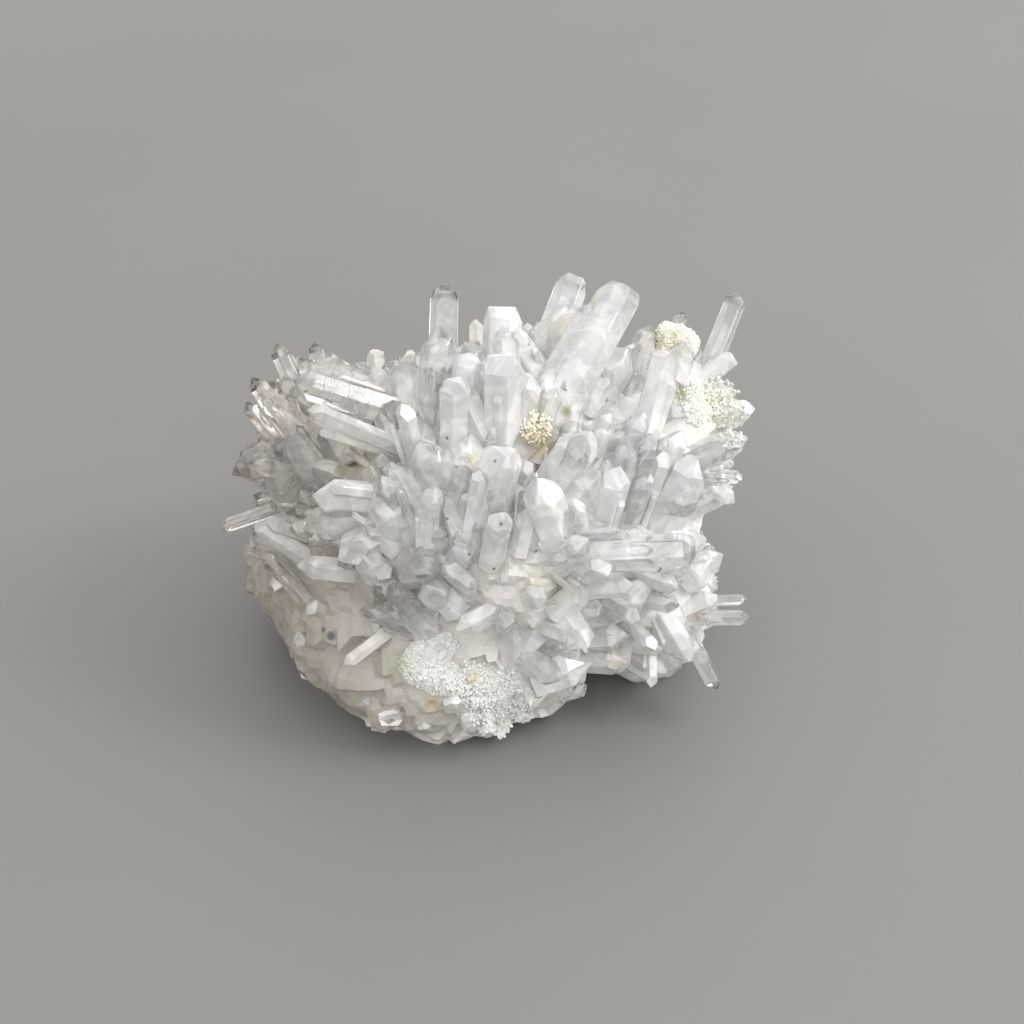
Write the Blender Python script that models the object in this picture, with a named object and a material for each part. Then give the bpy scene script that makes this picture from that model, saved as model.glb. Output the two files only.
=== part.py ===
"""A hand-size cluster of quartz: rock crystals grown together on a lump of milky quartz.

The whole specimen grew as one piece, so it is one solid: the rock, cut flat where it
rests, with the six-sided crystals joined into it. Units are metres, +Z is up and the
specimen is longest along X. Crystals that can be told apart are laid out one by one in
a front view, as seen from a little above, and the spaces between them are grown over
with smaller ones.
"""
import math
import random
from collections import namedtuple

import bmesh
import bpy
import numpy as np
from mathutils import Matrix, Vector, noise
from mathutils.bvhtree import BVHTree

MM = 0.001

# The front view: it looks along +Y and down, from a hand's breadth or two away.
# Its plane passes through VIEW_CENTRE, and places in it are (across, rise) in mm.
VIEW_PITCH = math.radians(33.0)
VIEW_DISTANCE = 300.0
VIEW_CENTRE = Vector((0.0, 0.0, 32.0))
VIEW_RIGHT = Vector((1.0, 0.0, 0.0))
VIEW_UP = Vector((0.0, math.sin(VIEW_PITCH), math.cos(VIEW_PITCH)))
VIEW_TOWARD = Vector((0.0, -math.cos(VIEW_PITCH), math.sin(VIEW_PITCH)))

# The rock: lumps that run into each other, each with its centre and half sizes, in mm
ROCK_LUMPS = (
    ((-4, 3, 26), (37, 30, 29)),
    ((-8, -11, 12), (28, 23, 17)),
    ((-29, 3, 17), (16.5, 17, 14.5)),
    ((29, -5, 16), (13, 13, 18)),
    ((30, 8, 38), (14, 15, 15)),
    ((37, 7, 46), (7, 9, 9)),
    ((-26, 6, 37), (13, 16, 13)),
    ((6, 6, 44), (18, 14, 13)),
    ((4, -20, 34), (14, 10, 12)),
)
ROCK_HEART = Vector((1.0, 1.0, 24.0))
ROCK_CREASE = 9.0
ROCK_REACH = 70.0
ROCK_STEPS = 140
ROCK_FINENESS = 3
ROCK_ROUGHNESS = 1.6
ROCK_GRAIN = 0.07

# Quartz: the faces of the point lean this far from the axis of the crystal
POINT_LEAN = math.radians(38.2)
CRYSTAL_TAPER = 0.9
ROOT_DEPTH = 5.0

# Crystals that stand out. Tip and foot are places in the front view, width is across
# the sides, lean is how much nearer than its foot the tip is, and back is how far the
# foot stands behind the face of the rock, all in mm. Blunt is how much of the point is
# worn off, as a share of the width.
Crystal = namedtuple("Crystal", "tip foot width lean back blunt", defaults=(0.0, 0.0))
CRYSTALS = (
    # left side, from the low ones upward
    Crystal((-49.8, -3.7), (-36.0, 1.0), 3.6, 1),
    Crystal((-41.7, 2.0), (-40.7, -6.9), 2.0, 5),
    Crystal((-47.6, 6.1), (-37.0, 10.0), 7.6, 2),
    Crystal((-46.0, 9.5), (-37.0, 12.0), 5.0, -3),
    Crystal((-44.8, 19.7), (-36.0, 8.5), 3.4, 1),
    Crystal((-43.7, 24.4), (-34.5, 11.5), 4.2, -1),
    Crystal((-39.2, 30.5), (-38.0, 20.0), 4.1, -2, 4),
    Crystal((-31.8, 30.9), (-31.6, 23.0), 3.6, -3, 4),
    Crystal((-28.5, 28.8), (-28.6, 23.0), 2.8, -2, 2),
    Crystal((-35.2, 28.1), (-33.8, 22.0), 3.6, -2, 5),
    Crystal((-40.5, 23.8), (-31.5, 19.0), 5.6, 2),
    Crystal((-33.5, 26.6), (-14.0, 20.0), 3.9, 7),
    Crystal((-36.1, 23.6), (-14.5, 17.0), 6.0, 8),
    Crystal((-33.5, 18.4), (-16.0, 11.0), 4.0, 8),
    Crystal((-35.3, 15.4), (-31.0, 9.0), 2.4, 4),
    # along the top
    Crystal((-20.8, 29.4), (-20.3, 22.0), 4.2, -3, 4, 0.1),
    Crystal((-17.3, 27.7), (-13.8, 20.0), 3.8, 1, 1),
    Crystal((-14.5, 29.2), (-14.0, 22.0), 3.4, -2, 3, 0.15),
    Crystal((-7.9, 41.8), (-8.4, 24.0), 5.9, -4, 5),
    Crystal((-8.7, 33.9), (-10.0, 17.0), 7.0, 3),
    Crystal((3.1, 37.2), (2.4, 22.0), 7.6, -1, 3, 0.25),
    Crystal((3.3, 28.3), (3.0, 13.0), 8.8, 6, 0, 0.25),
    Crystal((-3.3, 28.5), (-4.4, 15.0), 6.0, 4, 0, 0.25),
    Crystal((7.4, 24.6), (6.0, 13.0), 6.4, 5, 0, 0.2),
    Crystal((-5.6, 24.0), (-6.0, 12.0), 6.0, 6, 0, 0.2),
    Crystal((-2.0, 35.2), (-1.7, 24.0), 3.8, -4, 8),
    Crystal((7.8, 34.4), (7.8, 22.0), 4.6, -4, 8),
    Crystal((16.4, 43.0), (10.5, 27.0), 7.2, -8, 6, 0.2),
    Crystal((16.7, 36.3), (10.5, 23.0), 7.4, -2, 3, 0.1),
    Crystal((25.6, 41.4), (12.6, 18.0), 9.6, 2, 0, 0.28),
    Crystal((21.2, 38.0), (9.5, 18.5), 6.4, 2, 1, 0.1),
    Crystal((30.6, 34.0), (26.0, 20.0), 5.8, -4, 4),
    # right side, from the top downward
    Crystal((36.5, 36.6), (32.0, 26.0), 2.6, -2, 3),
    Crystal((47.0, 40.3), (40.5, 24.0), 4.6, -3, 3),
    Crystal((45.8, 28.0), (36.0, 21.0), 4.2, 0, 0, 0.3),
    Crystal((33.1, 29.2), (29.5, 14.0), 5.6, 3, 0, 0.3),
    Crystal((39.5, 30.0), (37.0, 20.0), 3.6, 0, 2),
    Crystal((50.0, 18.2), (38.5, 16.0), 5.2, 0),
    Crystal((48.6, 13.0), (38.0, 11.0), 4.8, 1),
    Crystal((46.8, 21.8), (36.5, 19.0), 4.6, 3),
    Crystal((47.8, 5.7), (37.0, 6.0), 2.8, 1),
    Crystal((46.1, 0.8), (38.0, 8.0), 3.4, 1),
    Crystal((40.5, 1.6), (36.0, 8.0), 2.6, 2),
    Crystal((44.0, -8.6), (34.0, -12.0), 5.0, 2),
    Crystal((41.7, -6.8), (38.0, -14.0), 2.4, 4),
    Crystal((49.2, -20.4), (36.0, -20.4), 3.8, 2),
    Crystal((48.4, -17.0), (36.0, -17.6), 2.4, 1, 2),
    Crystal((42.9, -33.7), (36.0, -21.0), 3.4, 2),
    Crystal((30.4, -33.5), (30.2, -24.0), 3.6, 3),
    Crystal((38.0, -28.8), (32.0, -19.0), 4.6, 3),
    Crystal((24.4, -30.8), (26.0, -20.0), 4.4, 3),
    Crystal((18.8, -33.1), (2.0, -38.6), 3.9, 3, 4),
    Crystal((13.8, -31.8), (7.0, -28.0), 5.6, 4),
    # middle, toward the viewer
    Crystal((24.4, 7.1), (20.0, -7.0), 5.8, 8, 0, 0.15),
    Crystal((26.6, 12.6), (22.5, -2.0), 5.0, 7),
    Crystal((39.0, 9.4), (31.5, -6.0), 7.6, 6, 0, 0.1),
    Crystal((29.6, 6.0), (25.0, -6.0), 4.4, 8),
    Crystal((33.1, 10.4), (28.0, -3.0), 4.8, 6, 0, 0.1),
    Crystal((30.3, 14.0), (27.0, 2.0), 4.6, 6),
    Crystal((36.0, 14.5), (31.0, 2.0), 4.8, 5),
    Crystal((24.5, 19.5), (18.5, 9.0), 5.0, 5, 0, 0.1),
    Crystal((28.8, 17.5), (23.0, 7.0), 4.6, 5),
    Crystal((3.0, 10.8), (-0.8, -4.0), 8.2, 8, 0, 0.2),
    Crystal((9.3, 5.6), (13.4, -7.0), 7.8, 9),
    Crystal((4.7, -2.2), (14.0, -12.0), 4.6, 6),
    Crystal((38.8, -7.6), (12.0, -8.6), 6.0, 4, 0, 0.2),
    Crystal((4.0, -14.0), (4.4, -25.0), 6.2, 7),
    Crystal((-11.2, -8.4), (-10.8, -21.0), 3.4, 6),
    Crystal((-32.7, 2.2), (-22.0, 1.4), 7.4, 5),
    Crystal((-35.3, -3.8), (-25.5, -3.0), 7.6, 3),
    Crystal((-27.5, -9.5), (-20.0, -5.0), 7.0, 5),
    Crystal((-41.7, -8.6), (-33.5, -17.0), 3.2, 3),
    Crystal((-21.2, -14.1), (-15.5, -21.5), 2.8, 4),
    Crystal((-18.2, -14.0), (-11.5, -21.5), 4.2, 6),
    Crystal((-22.9, -18.6), (-14.5, -22.5), 3.2, 5),
    Crystal((-26.6, -29.2), (-18.4, -23.0), 2.8, 2),
    Crystal((-15.5, 19.5), (-13.0, 8.0), 4.4, 7),
    Crystal((-4.0, 8.0), (-6.5, -3.0), 5.2, 8),
    Crystal((-10.0, 4.0), (-11.0, -8.0), 5.0, 8),
    Crystal((-19.5, 6.0), (-15.0, -4.0), 5.0, 7),
    Crystal((18.0, 13.5), (14.5, 3.0), 5.6, 6),
    Crystal((16.5, -14.5), (12.0, -20.0), 5.0, 5),
    Crystal((27.0, -17.0), (21.0, -20.0), 5.4, 5),
)

# Between them: smaller crystals, kept inside this outline of the front view, in mm
FILL_OUTLINE = (
    (-45, -8), (-43, 0), (-46, 8), (-42.5, 14), (-44, 20), (-42, 25), (-38.5, 29),
    (-33, 28.5), (-28, 28), (-22.5, 27), (-14, 29), (-10, 31), (-5, 31), (-2.5, 31),
    (3, 34), (8, 34), (14, 38), (19, 38), (26, 38), (31, 33), (36, 32), (40, 28),
    (45, 28), (46, 23), (49.5, 18), (46.5, 10), (46, 3), (40.5, 3), (38.5, -1),
    (40.5, -5), (43.5, -9), (43, -17), (44, -21), (39.5, -24), (38, -29), (30, -32.5),
    (24, -31), (20.5, -28), (15, -30.5), (11, -33), (8.5, -34), (8, -40.5), (-7, -43),
    (-20, -39), (-30.5, -32.5), (-39, -27), (-42, -15),
)
FILL_TRIES = 230
FILL_SEED = 11
FILL_WIDTH = (3.4, 7.0)
FILL_LENGTH = (8.0, 18.0)
FILL_FRONT_CUT = 0.5
FILL_FRONT_FROM = 0.3
FILL_FRONT_SHARE = 0.3
FILL_LOWEST = 10.0
FILL_SHORTEST = 4.0
# Neighbours lean the same way, in bunches about this many mm apart
BUNCH_SIZE = 16.0
BUNCH_LEAN = 0.9
BUNCH_DRAWS = (Vector((0.0, 0.0, 0.0)), Vector((31.4, 0.0, 0.0)), Vector((0.0, 47.2, 0.0)))
FILL_SPREAD = 0.25
GOLDEN_ANGLE = math.pi * (3.0 - math.sqrt(5.0))

# The bare broken side of the rock, low at the front left, in the front view
BARE_EDGE = ((-46, -8), (-27, -14), (-12, -17), (4, -22), (9, -29), (10, -50), (-60, -50), (-60, -8))


def clear_scene():
    """Start from nothing."""
    for item in list(bpy.data.objects):
        bpy.data.objects.remove(item, do_unlink=True)


def new_collection(name):
    """Add a collection to the scene."""
    collection = bpy.data.collections.new(name)
    bpy.context.scene.collection.children.link(collection)
    return collection


def quartz_material():
    """Milky white quartz."""
    material = bpy.data.materials.new("milky_quartz")
    material.use_nodes = True
    shader = material.node_tree.nodes["Principled BSDF"]
    shader.inputs["Base Color"].default_value = (0.80, 0.79, 0.76, 1.0)
    shader.inputs["Roughness"].default_value = 0.15
    shader.inputs["Metallic"].default_value = 0.0
    shader.inputs["IOR"].default_value = 1.544
    shader.inputs["Transmission Weight"].default_value = 0.4
    return material


def from_view(across, rise, toward):
    """Point in mm that the front view shows at (across, rise), this much before its plane."""
    nearer = (VIEW_DISTANCE - toward) / VIEW_DISTANCE
    return (VIEW_CENTRE + VIEW_RIGHT * (across * nearer) + VIEW_UP * (rise * nearer)
            + VIEW_TOWARD * toward)


def to_view(point):
    """Place (across, rise) in the front view of a point in mm."""
    offset = point - VIEW_CENTRE
    nearer = (VIEW_DISTANCE - offset.dot(VIEW_TOWARD)) / VIEW_DISTANCE
    return offset.dot(VIEW_RIGHT) / nearer, offset.dot(VIEW_UP) / nearer


def inside(place, outline):
    """True where a place of the front view lies inside a closed outline."""
    across, rise = place
    odd = False
    for (x0, y0), (x1, y1) in zip(outline, outline[1:] + outline[:1]):
        if (y0 > rise) != (y1 > rise) and across < x0 + (x1 - x0) * (rise - y0) / (y1 - y0):
            odd = not odd
    return odd


def rock_radius(directions):
    """How far the rock reaches from its heart along each direction, in mm."""
    reaches = np.linspace(ROCK_REACH, 0.0, ROCK_STEPS)
    heart = np.array(ROCK_HEART)
    points = heart + directions[:, None, :] * reaches[None, :, None]
    total = np.zeros(points.shape[:2])
    for centre, half_size in ROCK_LUMPS:
        depth = np.linalg.norm((points - np.array(centre)) / np.array(half_size), axis=2)
        total += np.exp(-ROCK_CREASE * (depth - 1.0))
    return reaches[np.argmax(total >= 1.0, axis=1)]


def rock_shape():
    """The rock as a mesh in mm: lumps, a broken surface, and a flat cut to rest on."""
    shape = bmesh.new()
    bmesh.ops.create_icosphere(shape, subdivisions=ROCK_FINENESS, radius=1.0)
    shape.verts.ensure_lookup_table()
    directions = np.array([vertex.co.normalized()[:] for vertex in shape.verts])
    for vertex, direction, radius in zip(shape.verts, directions, rock_radius(directions)):
        direction = Vector(direction)
        place = ROCK_HEART + direction * radius
        broken = noise.noise(place * ROCK_GRAIN) + 0.5 * noise.noise(place * ROCK_GRAIN * 2.3)
        vertex.co = place + direction * (broken * ROCK_ROUGHNESS)
    cut_off(shape, (0.0, 0.0, 0.0), (0.0, 0.0, -1.0))
    return shape


def cut_off(shape, point, outward):
    """Cut a closed shape with a plane, and close it again with one flat face."""
    cut = bmesh.ops.bisect_plane(
        shape, geom=shape.verts[:] + shape.edges[:] + shape.faces[:], plane_co=point,
        plane_no=outward, clear_outer=True)
    rim = [item for item in cut["geom_cut"] if isinstance(item, bmesh.types.BMEdge)]
    if rim:
        bmesh.ops.contextual_create(shape, geom=rim)


def crystal_shape(width, length, blunt, rng):
    """A six-sided crystal in mm along +Z: its foot at the origin and its tip at length."""
    shape = bmesh.new()
    radius = width / 2.0
    rough_length = length + width
    bmesh.ops.create_cone(shape, cap_ends=True, segments=6, radius1=radius,
                          radius2=radius * CRYSTAL_TAPER, depth=rough_length)
    bmesh.ops.translate(shape, verts=shape.verts, vec=(0.0, 0.0, rough_length / 2.0))
    for side in range(6):
        turn = math.radians(60.0 * side)
        face_out = Vector((math.cos(turn) * math.cos(POINT_LEAN),
                           math.sin(turn) * math.cos(POINT_LEAN), math.sin(POINT_LEAN)))
        steepness = rng.uniform(0.0, 0.22) if side % 2 else rng.uniform(-0.12, 0.05)
        cut_off(shape, (0.0, 0.0, length + steepness * width), face_out)
    top = max(vertex.co.z for vertex in shape.verts)
    if blunt:
        top -= blunt * width
        cut_off(shape, (0.0, 0.0, top), (0.0, 0.0, 1.0))
    flatness = rng.uniform(0.82, 1.05)
    bmesh.ops.scale(shape, verts=shape.verts, vec=(1.0, flatness, length / top))
    return shape


def mesh_object(name, shape, collection):
    """Turn a shape in mm into an object in metres."""
    bmesh.ops.scale(shape, verts=shape.verts, vec=(MM, MM, MM))
    bmesh.ops.recalc_face_normals(shape, faces=shape.faces)
    mesh = bpy.data.meshes.new(name)
    shape.to_mesh(mesh)
    shape.free()
    item = bpy.data.objects.new(name, mesh)
    collection.objects.link(item)
    return item


def grow(name, foot, tip, width, blunt, rng, collection):
    """Add one crystal from its foot to its tip, with a root that reaches into the rock."""
    axis = (tip - foot).normalized()
    root = foot - axis * ROOT_DEPTH
    shape = crystal_shape(width, (tip - root).length, blunt, rng)
    turned = axis.to_track_quat("Z", "Y").to_matrix().to_4x4()
    twist = Matrix.Rotation(rng.uniform(0.0, math.tau), 4, "Z")
    bmesh.ops.transform(shape, matrix=Matrix.Translation(root) @ turned @ twist, verts=shape.verts)
    item = mesh_object(name, shape, collection)
    item.hide_render = True
    item.display_type = "WIRE"
    return item


def foot_on_rock(crystal, rock_tree):
    """Where a crystal of the front view leaves the rock, in mm."""
    eye = VIEW_CENTRE + VIEW_TOWARD * VIEW_DISTANCE
    aim = from_view(*crystal.foot, 0.0)
    hit = rock_tree.ray_cast(eye, (aim - eye).normalized())[0]
    if hit is None:
        hit = rock_tree.find_nearest(aim)[0]
    return hit - VIEW_TOWARD * crystal.back


def grow_listed(rock_tree, rng, collection):
    """The crystals that stand out."""
    for index, crystal in enumerate(CRYSTALS):
        foot = foot_on_rock(crystal, rock_tree)
        nearness = (foot - VIEW_CENTRE).dot(VIEW_TOWARD)
        tip = from_view(*crystal.tip, nearness + crystal.lean)
        grow(f"crystal_{index:02d}", foot, tip, crystal.width, crystal.blunt, rng, collection)


def bunch_lean(place):
    """The lean that crystals about this place share: it changes slowly along the rock."""
    return Vector([noise.noise(place / BUNCH_SIZE + draw) for draw in BUNCH_DRAWS]) * BUNCH_LEAN


def grow_between(rock_tree, rng, collection):
    """Smaller crystals all over the rock, except on its bare side and underneath."""
    for index in range(FILL_TRIES):
        height = 1.0 - 2.0 * (index + 0.5) / FILL_TRIES
        turn = GOLDEN_ANGLE * index
        ring = math.sqrt(1.0 - height * height)
        outward = Vector((ring * math.cos(turn), ring * math.sin(turn), height))
        foot, normal = rock_tree.ray_cast(ROCK_HEART + outward * ROCK_REACH * 2.0, -outward)[:2]
        scatter = Vector([rng.uniform(-1.0, 1.0) for _ in range(3)]) * FILL_SPREAD
        axis = (normal + outward + bunch_lean(foot) + scatter).normalized()
        facing = max(0.0, axis.dot(VIEW_TOWARD))
        size = rng.random()
        width = FILL_WIDTH[0] + (FILL_WIDTH[1] - FILL_WIDTH[0]) * size * size
        length = rng.uniform(*FILL_LENGTH) * (1.0 - FILL_FRONT_CUT * facing)
        spared = facing > FILL_FRONT_FROM and rng.random() > FILL_FRONT_SHARE
        if spared or foot.z < FILL_LOWEST or inside(to_view(foot), BARE_EDGE) and foot.y < 0.0:
            continue
        while length > FILL_SHORTEST and not inside(to_view(foot + axis * length), FILL_OUTLINE):
            length -= 1.0
        if length <= FILL_SHORTEST:
            continue
        grow(f"between_{index:03d}", foot, foot + axis * length, width, 0.0, rng, collection)


def centre_on_floor(item):
    """Put the middle of the specimen's footprint on the origin."""
    bpy.context.view_layer.update()
    whole = item.evaluated_get(bpy.context.evaluated_depsgraph_get())
    corners = [whole.matrix_world @ Vector(corner) for corner in whole.bound_box]
    for axis in range(2):
        low = min(corner[axis] for corner in corners)
        high = max(corner[axis] for corner in corners)
        item.location[axis] -= (low + high) / 2.0


def main():
    clear_scene()
    specimen = new_collection("quartz")
    helpers = new_collection("crystals_to_join")
    rng = random.Random(FILL_SEED)

    rock = rock_shape()
    rock_tree = BVHTree.FromBMesh(rock)
    cluster = mesh_object("quartz_cluster", rock, specimen)
    cluster.data.materials.append(quartz_material())
    grow_listed(rock_tree, rng, helpers)
    grow_between(rock_tree, rng, helpers)

    joined = cluster.modifiers.new("crystals", "BOOLEAN")
    joined.operation = "UNION"
    joined.solver = "EXACT"
    joined.operand_type = "COLLECTION"
    joined.collection = helpers
    centre_on_floor(cluster)
    helpers_root = bpy.data.objects.new("crystals_place", None)
    specimen.objects.link(helpers_root)
    helpers_root.location = cluster.location
    for item in helpers.objects:
        item.parent = helpers_root


main()
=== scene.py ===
import math
import random
from collections import namedtuple

import bmesh
import bpy
import numpy as np
from mathutils import Matrix, Vector, noise
from mathutils.bvhtree import BVHTree


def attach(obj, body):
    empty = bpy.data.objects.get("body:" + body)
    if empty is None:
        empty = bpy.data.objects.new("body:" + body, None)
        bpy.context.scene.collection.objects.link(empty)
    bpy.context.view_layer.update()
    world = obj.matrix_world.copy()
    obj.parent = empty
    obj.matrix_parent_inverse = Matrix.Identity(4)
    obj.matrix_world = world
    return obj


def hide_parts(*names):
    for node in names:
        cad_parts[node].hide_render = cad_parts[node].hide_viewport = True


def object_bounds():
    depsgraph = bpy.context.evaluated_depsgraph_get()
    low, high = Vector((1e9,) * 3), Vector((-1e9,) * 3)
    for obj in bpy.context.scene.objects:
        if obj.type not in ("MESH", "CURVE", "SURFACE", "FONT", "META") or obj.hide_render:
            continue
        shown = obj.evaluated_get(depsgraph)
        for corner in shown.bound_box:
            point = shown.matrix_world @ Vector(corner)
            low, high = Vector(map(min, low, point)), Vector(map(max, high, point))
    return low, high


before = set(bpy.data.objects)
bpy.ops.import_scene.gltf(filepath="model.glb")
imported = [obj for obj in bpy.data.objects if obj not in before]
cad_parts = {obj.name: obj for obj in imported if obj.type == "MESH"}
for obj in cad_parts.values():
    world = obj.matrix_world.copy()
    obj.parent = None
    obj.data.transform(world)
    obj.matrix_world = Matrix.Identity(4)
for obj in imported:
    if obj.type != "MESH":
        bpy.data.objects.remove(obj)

# The looks of a hand-size quartz cluster: clear and milky crystals on milky rock.
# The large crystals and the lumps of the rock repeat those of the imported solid, and the
# fine surface, the small crystals, the sugary crusts and the needles are made here.
cad_low, cad_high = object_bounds()
MM = 0.001
NODE = "quartz_cluster"

# The front view, as in the part's source: places in it are (across, rise) in mm
VIEW_PITCH = math.radians(33.0)
VIEW_DISTANCE = 300.0
VIEW_CENTRE = Vector((0.0, 0.0, 32.0))
VIEW_RIGHT = Vector((1.0, 0.0, 0.0))
VIEW_UP = Vector((0.0, math.sin(VIEW_PITCH), math.cos(VIEW_PITCH)))
VIEW_TOWARD = Vector((0.0, -math.cos(VIEW_PITCH), math.sin(VIEW_PITCH)))
PICTURE_WIDTH = 1024
MM_PER_PIXEL = 0.186
VIEW_CENTRE_PIXEL = (487, 508)

# The rock, as in the part's source
ROCK_LUMPS = (
    ((-4, 3, 26), (37, 30, 29)),
    ((-8, -11, 12), (28, 23, 17)),
    ((-29, 3, 17), (16.5, 17, 14.5)),
    ((29, -5, 16), (13, 13, 18)),
    ((30, 8, 38), (14, 15, 15)),
    ((37, 7, 46), (7, 9, 9)),
    ((-26, 6, 37), (13, 16, 13)),
    ((6, 6, 44), (18, 14, 13)),
    ((4, -20, 34), (14, 10, 12)),
)
ROCK_HEART = Vector((1.0, 1.0, 24.0))
ROCK_CREASE = 9.0
ROCK_REACH = 70.0
ROCK_STEPS = 140
ROCK_FINENESS = 3
ROCK_ROUGHNESS = 1.6
ROCK_GRAIN = 0.07
ROCK_FINER = 2.3
ROCK_FINER_SHARE = 0.5
ROCK_AT_ONCE = 4000

# Its fine surface: broken faces of two sizes, and crumbs
FINE_ROCK_FINENESS = 6
FACET_SIZES = (6.5, 2.6)
FACET_TILT = 0.1
FACET_STEP = 0.03
FACET_DRAW = 7.31
CRUMB_SIZE = 1.3
CRUMB_DEPTH = 0.1

# Crystals, as in the part's source
SIDES = 6
POINT_LEAN = math.radians(38.2)
POINT_STEPS = ((-0.12, 0.05), (0.0, 0.22))
CRYSTAL_FLATNESS = (0.82, 1.05)
CRYSTAL_TAPER = 0.9
ROOT_DEPTH = 5.0
FILL_TRIES = 230
FILL_SEED = 11
FILL_WIDTH = (3.4, 7.0)
FILL_LENGTH = (8.0, 18.0)
FILL_FRONT_CUT = 0.5
FILL_FRONT_FROM = 0.3
FILL_FRONT_SHARE = 0.3
FILL_LOWEST = 10.0
FILL_SHORTEST = 4.0
BUNCH_SIZE = 16.0
BUNCH_LEAN = 0.9
BUNCH_DRAWS = (Vector((0.0, 0.0, 0.0)), Vector((31.4, 0.0, 0.0)), Vector((0.0, 47.2, 0.0)))
FILL_SPREAD = 0.25
FILL_WORN = 0.06
GOLDEN_ANGLE = math.pi * (3.0 - math.sqrt(5.0))

# Edges that bend more than this, in radians, are worn, and this is how full they are left
SHARP_ANGLE = 0.2
ROUNDNESS = 0.6

# Crystals nearer to each other than this share of their radii count as touching
TOUCHING = 1.02

# How clear each kind of crystal is at its tip, from 0 to 1, how beige, how worn its edges are,
# and how many smaller crystals grow along it
Look = namedtuple("Look", "clear tint worn companions")
LOOKS = {
    "clear": Look(1.0, 0.0, 0.03, 1),
    "glassy": Look(0.9, 0.0, 0.045, 6),
    "veiled": Look(0.74, 0.0, 0.08, 2),
    "milky": Look(0.52, 0.0, 0.12, 2),
    "beige": Look(0.5, 1.0, 0.08, 1),
}

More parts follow.
